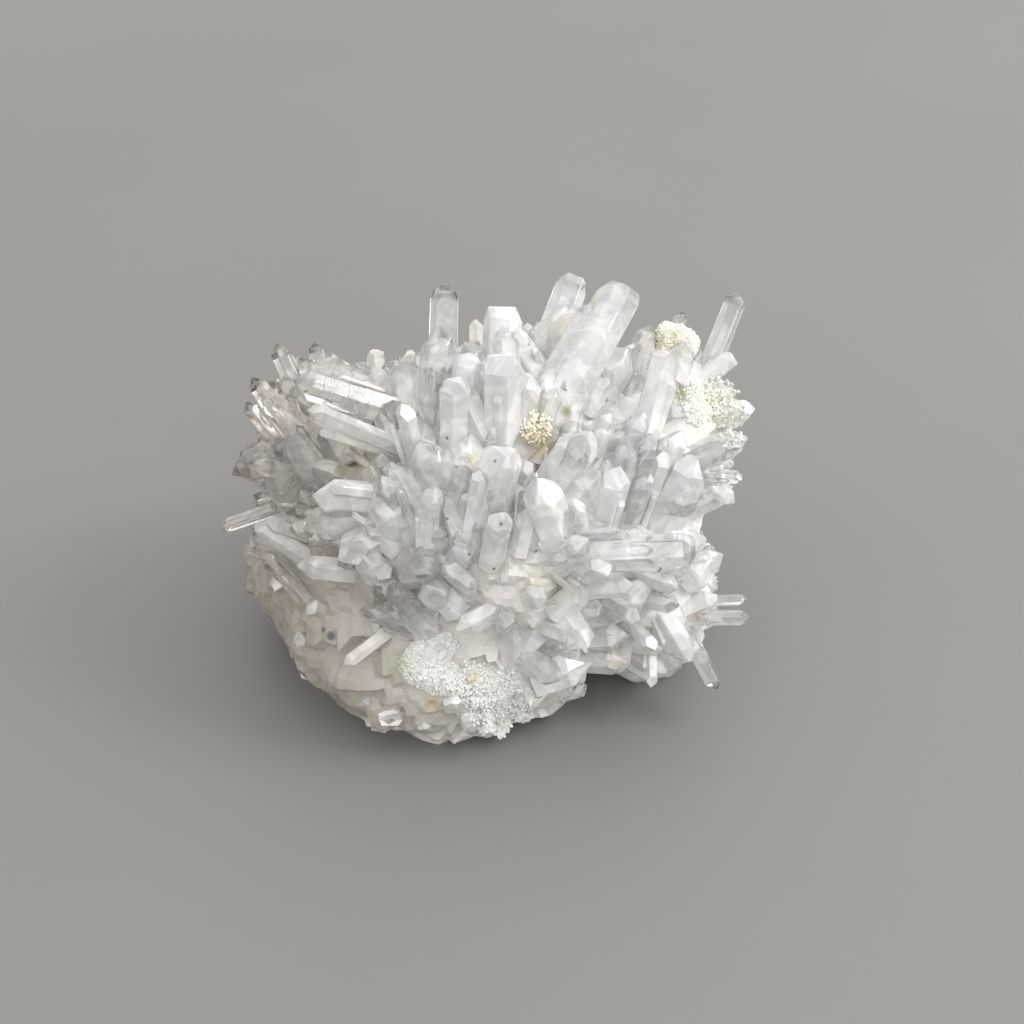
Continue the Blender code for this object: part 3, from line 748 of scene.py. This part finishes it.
def add_copy(pile, kind, kind_length, foot, axis, width, length, sunk, rng, clear, tint):
    """Add a copy of a kind of crystal: its sides are stretched, and its point keeps its form."""
    total = length + sunk
    scaled = kind[0] * width
    upper = kind[0][:, 2] > kind_length * KIND_FOOT
    scaled[:, 2] += np.where(upper, total - kind_length * width, 0.0)
    placing = placing_of(foot - axis * sunk, axis, rng.uniform(0.0, math.tau))
    along = np.clip(scaled[:, 2] / total, 0.0, 1.0)
    pile.append(place_solid(kind, placing, scaled, along, clear, tint, rng.random()))


def grow_companions(pile, stems, rng):
    """Smaller crystals that grow along the large ones, about their feet."""
    kinds = kinds_of(rng, COMPANION_KINDS, KIND_LENGTH, COMPANION_WORN)
    for foot, tip, width, look in stems:
        axis = (tip - foot).normalized()
        reach = (tip - foot).length
        for _ in range(look.companions):
            aside = Vector([rng.uniform(-1.0, 1.0) for _ in range(3)])
            aside = (aside - axis * aside.dot(axis)).normalized()
            start = foot + aside * width * rng.uniform(*COMPANION_ASIDE)
            start = start + axis * rng.uniform(*COMPANION_START)
            lean = (axis + aside * rng.uniform(*COMPANION_LEAN)).normalized()
            length = shortened(start, lean, reach * rng.uniform(*COMPANION_LENGTH))
            if length > SMALL_SHORTEST:
                add_copy(pile, rng.choice(kinds), KIND_LENGTH, start, lean,
                         width * rng.uniform(*COMPANION_WIDTH), length, COMPANION_SUNK, rng,
                         look.clear * rng.uniform(*COMPANION_CLEAR), look.tint)


def fan(place):
    """The way that crystals lean at a place of the front view: away from the fan's root."""
    across = place[0] - FAN_ROOT[0]
    rise = place[1] - FAN_ROOT[1]
    return (VIEW_RIGHT * across + VIEW_UP * rise).normalized()


def grow_small(pile, tier, rock_tree, rng, in_bare=False):
    """Hundreds of small crystals between the large ones, or in the bare part of the rock."""
    kinds = kinds_of(rng, SMALL_KINDS, KIND_LENGTH, tier.worn)
    for index in range(tier.count):
        scatter = Vector([rng.uniform(-1.0, 1.0) for _ in range(3)])
        outward = (around(index, tier.count) + scatter * FOOT_SCATTER).normalized()
        foot, normal = rock_tree.ray_cast(ROCK_HEART + outward * ROCK_REACH * 2.0, -outward)[:2]
        place = to_view(foot)
        axis = normal * tier.normal + fan(place) * tier.fan
        axis = axis + bunch_lean(foot * SMALL_BUNCH_SIZE) * SMALL_BUNCH_SHARE
        axis = (axis + scatter * tier.scatter).normalized()
        size = rng.random()
        width = tier.widths[0] + (tier.widths[1] - tier.widths[0]) * size ** 2
        length = rng.uniform(*tier.lengths)
        clear, tint = side_look(foot, rng)
        if in_bare:
            clear *= FRAGMENT_CLEAR
        bare = inside(place, BARE_EDGE) and foot.y < BARE_BACK
        if foot.z < SMALL_LOWEST or bare != in_bare or axis.dot(normal) < LEAST_OUTWARD:
            continue
        length = shortened(foot, axis, length)
        if length > SMALL_SHORTEST:
            add_copy(pile, rng.choice(kinds), KIND_LENGTH, foot, axis, width, length, SMALL_SUNK,
                     rng, clear, tint)


def add_grain(pile, kinds, place, normal, rng):
    """Add one tiny crystal of a sugary crust."""
    scatter = Vector([rng.uniform(-1.0, 1.0) for _ in range(3)])
    axis = (normal + scatter * GRAIN_SCATTER).normalized()
    width = rng.uniform(*GRAIN_WIDTH)
    add_copy(pile, rng.choice(kinds), GRAIN_KIND_LENGTH, place, axis, width,
             width * rng.uniform(*GRAIN_LENGTH), GRAIN_SUNK, rng, rng.uniform(*GRAIN_CLEAR),
             rng.uniform(*GRAIN_TINT))


def tree_of(item):
    """An object's surface in mm, in the frame of the front view, to cast rays at."""
    mesh = item.data
    points = np.empty(len(mesh.vertices) * 3)
    mesh.vertices.foreach_get("co", points)
    points = points.reshape(-1, 3) / MM - SHIFT
    return BVHTree.FromPolygons(points.tolist(), [face.vertices[:] for face in mesh.polygons])


def seen(place, trees):
    """The first point in mm that the front view shows at a place, and the way it faces."""
    hits = [tree.ray_cast(*line_of_sight(place)) for tree in trees]
    hits = [hit for hit in hits if hit[0] is not None]
    if not hits:
        return None, None
    return min(hits, key=lambda hit: hit[3])[:2]


def grow_crusts(pile, trees, rng):
    """Patches of sugary crust: tiny crystals packed close together on all that is seen there."""
    kinds = kinds_of(rng, GRAIN_KINDS, GRAIN_KIND_LENGTH, 0.0)
    for place, radius, count in CRUST_PATCHES:
        for _ in range(count):
            turn = rng.uniform(0.0, math.tau)
            off = radius * math.sqrt(rng.random())
            ragged = rng.random() < (off / radius) ** CRUST_RAGGED
            spot = (place[0] + off * math.cos(turn), place[1] + off * math.sin(turn))
            hit, normal = seen(spot, trees)
            if hit is not None and not ragged and in_reach(hit):
                add_grain(pile, kinds, hit, normal, rng)


def knob_centre(knob, rock_tree):
    """Middle of a knob, in mm."""
    place, deep, _ = knob
    hit = rock_tree.ray_cast(*line_of_sight(place))[0]
    if hit is None:
        nearest = rock_tree.find_nearest(from_view(*place, 0.0))[0]
        hit = from_view(*place, (nearest - VIEW_CENTRE).dot(VIEW_TOWARD))
    return hit - VIEW_TOWARD * deep


def knob_lump(outward, centre):
    """How far a lumpy knob reaches one way from its centre, for its radius."""
    return 1.0 + KNOB_LUMP * noise.noise(outward * KNOB_LUMP_SIZE + centre)


def grow_knobs(rock_pile, pile, rock_tree, rng):
    """Lumpy knobs of rock, grown over with tiny crystals where they stand out of the rock."""
    kinds = kinds_of(rng, GRAIN_KINDS, GRAIN_KIND_LENGTH, 0.0)
    for knob in KNOBS:
        centre = knob_centre(knob, rock_tree)
        radius = knob[2]
        ball = bmesh.new()
        bmesh.ops.create_icosphere(ball, subdivisions=KNOB_FINENESS, radius=1.0)
        for vertex in ball.verts:
            vertex.co = vertex.co * radius * knob_lump(vertex.co, centre)
        solid = solid_of(ball, 0.0)
        placing = Matrix.Translation(centre)
        rock_pile.append(place_solid(solid, placing, solid[0], 0.0, 0.0, 0.0, 0.0))
        count = int(KNOB_GRAINS * radius * radius)
        for index in range(count):
            outward = around(index, count)
            place = centre + outward * radius * knob_lump(outward, centre)
            nearest, normal = rock_tree.find_nearest(place)[:2]
            if (place - nearest).dot(normal) > 0.0:
                add_grain(pile, kinds, place, outward, rng)


class Nodes:
    """A material's node tree, built by short calls."""

    def __init__(self, name):
        self.material = bpy.data.materials.new(name)
        self.material.use_nodes = True
        self.tree = self.material.node_tree
        self.shader = self.tree.nodes["Principled BSDF"]

    def add(self, kind, inputs=None, **settings):
        """Add a node, with its settings, and its inputs set or linked."""
        node = self.tree.nodes.new(kind)
        for name, value in settings.items():
            setattr(node, name, value)
        for name, value in (inputs or {}).items():
            self.put(node.inputs[name], value)
        return node

    def put(self, socket, value):
        """Set a socket to a value, or link it to another node's output."""
        if isinstance(value, bpy.types.NodeSocket):
            self.tree.links.new(value, socket)
        else:
            socket.default_value = value

    def attribute(self, name):
        """What each point knows of its own crystal."""
        return self.add("ShaderNodeAttribute", attribute_name=name).outputs["Fac"]

    def math(self, operation, first, second, clamp=False):
        """One sum on two values."""
        return self.add("ShaderNodeMath", {0: first, 1: second}, operation=operation,
                        use_clamp=clamp).outputs[0]

    def noise(self, vector, scale, detail, distortion=0.0):
        """Cloudy noise from 0 to 1."""
        return self.add("ShaderNodeTexNoise", {"Vector": vector, "Scale": scale, "Detail": detail,
                                               "Distortion": distortion}).outputs["Fac"]

    def ramp(self, value, low, high, to_low=0.0, to_high=1.0):
        """Stretch a value from one range to another, and keep it there."""
        return self.add("ShaderNodeMapRange", {"Value": value, "From Min": low, "From Max": high,
                                               "To Min": to_low, "To Max": to_high}).outputs[0]

    def mix(self, share, first, second):
        """Blend two colours."""
        node = self.add("ShaderNodeMix", data_type="RGBA", clamp_factor=True)
        self.put(node.inputs[0], share)
        self.put(node.inputs[6], first)
        self.put(node.inputs[7], second)
        return node.outputs[2]

    def bump(self, height, distance, strength):
        """A bumpy normal."""
        return self.add("ShaderNodeBump", {"Height": height, "Distance": distance,
                                           "Strength": strength}).outputs[0]


def colour(tone):
    """A colour with full cover."""
    return (*tone, 1.0)


def add_stains(nodes, base, where, spots):
    """Lay the stains over a colour: soft-edged blots, broken up by noise."""
    broken = nodes.noise(where, 420.0, 4.0)
    for place, radius, stain, strength in spots:
        away = nodes.add("ShaderNodeVectorMath", {0: where, 1: place}, operation="DISTANCE")
        ragged = nodes.ramp(broken, 0.3, 0.7, 0.6, 1.5)
        ragged = nodes.math("MULTIPLY", away.outputs["Value"], ragged)
        share = nodes.ramp(ragged, radius * 0.35, radius, strength, 0.0)
        base = nodes.mix(share, base, colour(stain))
    return base


def add_inclusions(nodes, base, where, inclusions):
    """Lay small dark specks over a colour."""
    for place, radius in inclusions:
        away = nodes.add("ShaderNodeVectorMath", {0: where, 1: place}, operation="DISTANCE")
        dark = nodes.ramp(away.outputs["Value"], radius * 0.5, radius, 0.85, 0.0)
        base = nodes.mix(dark, base, colour(DARK_SPECK))
    return base


def crystal_material(spots, inclusions):
    """Quartz from clear to milky, by what each crystal says, milkier toward its foot, with painted
    shade on the left side.
    """
    nodes = Nodes("quartz")
    where = nodes.add("ShaderNodeTexCoord").outputs["Object"]
    local = nodes.add("ShaderNodeAttribute", attribute_name="local").outputs["Vector"]
    along = nodes.attribute("along")
    clear = nodes.attribute("clear")
    tint = nodes.attribute("tint")
    own = nodes.attribute("own")
    veil = nodes.ramp(nodes.noise(where, 230.0, 3.0, 1.2), 0.45, 0.72, 0.0, 0.28)
    foot = nodes.ramp(along, 0.2, 0.8, 0.35, 0.0)
    milk = nodes.math("ADD", nodes.math("SUBTRACT", 1.0, clear), veil)
    milk = nodes.math("ADD", milk, foot, clamp=True)
    base = nodes.mix(milk, colour(CLEAR_QUARTZ), colour(MILKY_QUARTZ))
    base = nodes.mix(nodes.math("MULTIPLY", tint, 0.75), base, colour(BEIGE_QUARTZ))
    # Painted shade: crystals toward the left side are darkened, where less light falls
    across = nodes.add("ShaderNodeSeparateXYZ", {0: where}).outputs["X"]
    base = nodes.mix(nodes.ramp(across, *CRYSTAL_PAINTED_SHADE_SPAN, 1.0, 0.0), base, colour(PAINTED_SHADE_QUARTZ))
    base = add_stains(nodes, base, where, spots)
    base = add_inclusions(nodes, base, where, inclusions)
    nodes.put(nodes.shader.inputs["Base Color"], base)
    nodes.put(nodes.shader.inputs["Transmission Weight"], nodes.ramp(milk, 0.0, 1.0, 1.0, 0.2))
    etched = nodes.ramp(nodes.noise(where, 900.0, 2.0), 0.5, 0.75, 0.0, 0.08)
    own_rough = nodes.math("MULTIPLY", own, 0.08)
    rough = nodes.math("ADD", nodes.ramp(milk, 0.1, 1.0, 0.02, 0.16), etched)
    nodes.put(nodes.shader.inputs["Roughness"], nodes.math("ADD", rough, own_rough))
    nodes.put(nodes.shader.inputs["IOR"], QUARTZ_IOR)
    axis = nodes.add("ShaderNodeSeparateXYZ", {0: local}).outputs["Z"]
    steps = nodes.math("ADD", nodes.math("MULTIPLY", axis, 2.4), nodes.math("MULTIPLY", own, 50.0))
    rungs = nodes.add("ShaderNodeTexNoise", {"W": steps, "Scale": 1.0, "Detail": 2.0},
                      noise_dimensions="1D").outputs["Fac"]
    nodes.put(nodes.shader.inputs["Normal"],
              nodes.bump(rungs, 0.0001, nodes.ramp(milk, 0.1, 0.6, 0.08, 0.35)))
    return nodes.material


def sugar_material(spots):
    """Tiny glittering crystals: white, with a shade of their own each, and stained."""
    nodes = Nodes("sugary_quartz")
    where = nodes.add("ShaderNodeTexCoord").outputs["Object"]
    own = nodes.attribute("own")
    base = nodes.mix(own, colour(BRIGHT_SUGAR), colour(DULL_SUGAR))
    base = add_stains(nodes, base, where, spots)
    nodes.put(nodes.shader.inputs["Base Color"], base)
    nodes.put(nodes.shader.inputs["Roughness"], nodes.ramp(own, 0.0, 1.0, 0.05, 0.25))
    nodes.put(nodes.shader.inputs["IOR"], QUARTZ_IOR)
    fine = nodes.noise(where, 1800.0, 2.0)
    nodes.put(nodes.shader.inputs["Normal"], nodes.bump(fine, 0.00005, 0.3))
    return nodes.material


def rock_material(spots, inclusions):
    """Milky broken quartz: pale, with painted shade and half see-through at the left, with stains.
    """
    nodes = Nodes("milky_rock")
    where = nodes.add("ShaderNodeTexCoord").outputs["Object"]
    cloud = nodes.noise(where, 60.0, 5.0, 0.6)
    base = nodes.mix(nodes.ramp(cloud, 0.35, 0.7), colour(PALE_ROCK), colour(WARM_ROCK))
    place = nodes.add("ShaderNodeSeparateXYZ", {0: where})
    # Painted shade: the rock's colour darkens toward the left side, away from the light, and it
    # turns half see-through there
    shade = nodes.math("ADD", place.outputs["X"], nodes.math("MULTIPLY", cloud, 0.03))
    shade = nodes.ramp(shade, *ROCK_PAINTED_SHADE_SPAN, 1.0, 0.0)
    # The painted shade is left off the lowest few mm, near the table, so a pale rim stays there
    rim = nodes.math("SUBTRACT", place.outputs["Z"], nodes.math("MULTIPLY", cloud, 0.004))
    shade = nodes.math("MULTIPLY", shade, nodes.ramp(rim, 0.0005, 0.004))
    base = nodes.mix(shade, base, colour(PAINTED_SHADE_ROCK))
    nodes.put(nodes.shader.inputs["Transmission Weight"], nodes.math("MULTIPLY", shade, 0.5))
    grey = nodes.ramp(nodes.noise(where, 170.0, 4.0), 0.55, 0.75, 0.0, 0.35)
    base = nodes.mix(grey, base, colour(GREY_ROCK))
    base = add_stains(nodes, base, where, spots)
    base = add_inclusions(nodes, base, where, inclusions)
    nodes.put(nodes.shader.inputs["Base Color"], base)
    nodes.put(nodes.shader.inputs["Roughness"],
              nodes.ramp(nodes.noise(where, 350.0, 3.0), 0.3, 0.7, 0.12, 0.35))
    nodes.put(nodes.shader.inputs["IOR"], QUARTZ_IOR)
    grain = nodes.noise(where, 700.0, 4.0)
    nodes.put(nodes.shader.inputs["Normal"], nodes.bump(grain, 0.0002, 0.5))
    return nodes.material


def floor_material():
    """A plain pale matt surface."""
    nodes = Nodes("pale_floor")
    where = nodes.add("ShaderNodeTexCoord").outputs["Object"]
    shade = nodes.ramp(nodes.noise(where, 6.0, 3.0), 0.3, 0.7)
    base = nodes.mix(shade, colour(FLOOR), colour(PALER_FLOOR))
    nodes.put(nodes.shader.inputs["Base Color"], base)
    nodes.put(nodes.shader.inputs["Roughness"], 0.55)
    return nodes.material


def key_light():
    """A square soft light from the upper right."""
    data = bpy.data.lights.new("key", "AREA")
    data.size = KEY_SIZE
    data.energy = KEY_POWER
    data.color = KEY_TONE
    light = bpy.data.objects.new("key", data)
    bpy.context.scene.collection.objects.link(light)
    light.location = KEY_PLACE
    way = Vector(KEY_AIM) - Vector(KEY_PLACE)
    light.rotation_euler = way.to_track_quat("-Z", "Y").to_euler()


def surround():
    """A plain soft room of light: brighter above and to the right than at the left."""
    world = bpy.data.worlds.new("soft_room")
    bpy.context.scene.world = world
    world.use_nodes = True
    world.cycles.sampling_method = "NONE"
    tree = world.node_tree
    way = tree.nodes.new("ShaderNodeTexCoord").outputs["Generated"]
    side = tree.nodes.new("ShaderNodeVectorMath")
    side.operation = "DOT_PRODUCT"
    tree.links.new(way, side.inputs[0])
    side.inputs[1].default_value = BRIGHT_WAY
    strength = tree.nodes.new("ShaderNodeMapRange")
    tree.links.new(side.outputs["Value"], strength.inputs["Value"])
    strength.inputs["From Min"].default_value = ROOM_DARK_FROM
    strength.inputs["From Max"].default_value = 1.0
    strength.inputs["To Min"].default_value = ROOM_DARK
    strength.inputs["To Max"].default_value = ROOM_BRIGHT
    background = tree.nodes["Background"]
    background.inputs["Color"].default_value = colour((1.0, 1.0, 1.0))
    tree.links.new(strength.outputs[0], background.inputs["Strength"])


def studio():
    """The floor and the light."""
    bpy.ops.mesh.primitive_plane_add(size=6.0)
    floor = bpy.context.object
    floor.name = "floor"
    floor.data.materials.append(floor_material())
    key_light()
    surround()


def in_frame(place, trees):
    """Point of the part's frame, in metres, that the front view shows at a place."""
    hit = seen(place, trees)[0] or foot_on_rock(place, trees[0])
    return tuple((np.array(hit) + SHIFT) * MM)


def camera():
    """The photograph's viewing angle and framing."""
    data = bpy.data.cameras.new("camera")
    item = bpy.data.objects.new("camera", data)
    bpy.context.scene.collection.objects.link(item)
    item.location = (VIEW_CENTRE + Vector(SHIFT) + VIEW_TOWARD * VIEW_DISTANCE) * MM
    item.rotation_euler = (math.pi / 2.0 - VIEW_PITCH, 0.0, 0.0)
    data.sensor_width = 36.0
    data.lens = data.sensor_width * VIEW_DISTANCE / MM_PER_PIXEL / PICTURE_WIDTH
    data.shift_x = (PICTURE_WIDTH / 2.0 - VIEW_CENTRE_PIXEL[0]) / PICTURE_WIDTH
    data.shift_y = (VIEW_CENTRE_PIXEL[1] - PICTURE_WIDTH / 2.0) / PICTURE_WIDTH
    data.clip_start = 0.01
    bpy.context.scene.camera = item


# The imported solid's own shapes, made first, because they give the shift to its frame
coarse_rock = rock_points(ROCK_FINENESS, False)
cut_off(coarse_rock, (0.0, 0.0, 0.0), (0.0, 0.0, -1.0))
coarse_tree = BVHTree.FromBMesh(coarse_rock)
shape_rng = random.Random(FILL_SEED)
look_rng = random.Random(FILL_SEED + 1)
large = []
between = []
boxes, stems = grow_listed(large, coarse_tree, shape_rng)
boxes += grow_between(between, coarse_tree, shape_rng, look_rng)
rock_corners = np.array([vertex.co[:] for vertex in coarse_rock.verts])
lowest = np.min([box[0] for box in boxes] + [rock_corners.min(0)], axis=0)
highest = np.max([box[1] for box in boxes] + [rock_corners.max(0)], axis=0)
SHIFT = np.array([-(lowest[0] + highest[0]) / 2.0, -(lowest[1] + highest[1]) / 2.0, 0.0])

# The fine rock, and what grows on it
fine_rock = fine_rock_shape()
fine_tree = BVHTree.FromBMesh(fine_rock)
small_rng = random.Random(SMALL_SEED)
grow_companions(between, stems, small_rng)
crystals = large + between
for tier in SMALL_TIERS.values():
    grow_small(crystals, tier, fine_tree, small_rng)
grow_small(crystals, FRAGMENTS, fine_tree, small_rng, True)
grown = grown_together("crystals", crystals)
trees = [fine_tree, tree_of(grown)]
crust_rng = random.Random(CRUST_SEED)
crust = []
knobs = []
knob_crust = []
grow_crusts(crust, trees, crust_rng)
grow_knobs(knobs, knob_crust, fine_tree, crust_rng)
rock_solid = solid_of(fine_rock, 0.0)
rock_pile = [place_solid(rock_solid, Matrix.Identity(4), rock_solid[0], 0.0, 0.0, 0.0, 0.0)]
shown = [
    mesh_object("rock", rock_pile),
    mesh_object("knobs", knobs),
    mesh_object("sugary_crust", crust),
    mesh_object("knob_crust", knob_crust),
    grown,
]
trees.append(tree_of(shown[1]))
stain_spots = [(in_frame(place, trees), radius * MM, stain, strength)
               for place, radius, stain, strength in STAINS]
dark_spots = [(in_frame(place, trees), radius * MM) for place, radius in INCLUSIONS]
rocky = rock_material(stain_spots, dark_spots)
sugary = sugar_material(stain_spots)
glassy = crystal_material(stain_spots, dark_spots)
for item, surface in zip(shown, (rocky, rocky, sugary, sugary, glassy)):
    item.data.materials.clear()
    item.data.materials.append(surface)

for item in shown:
    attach(item, "root")
    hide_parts(NODE)

studio()
camera()
view_settings = bpy.context.scene.view_settings
view_settings.view_transform = "Standard"
cycles = bpy.context.scene.cycles
cycles.sample_clamp_indirect = 4.0
cycles.max_bounces = 8
cycles.diffuse_bounces = 3
cycles.glossy_bounces = 6
cycles.transmission_bounces = 8
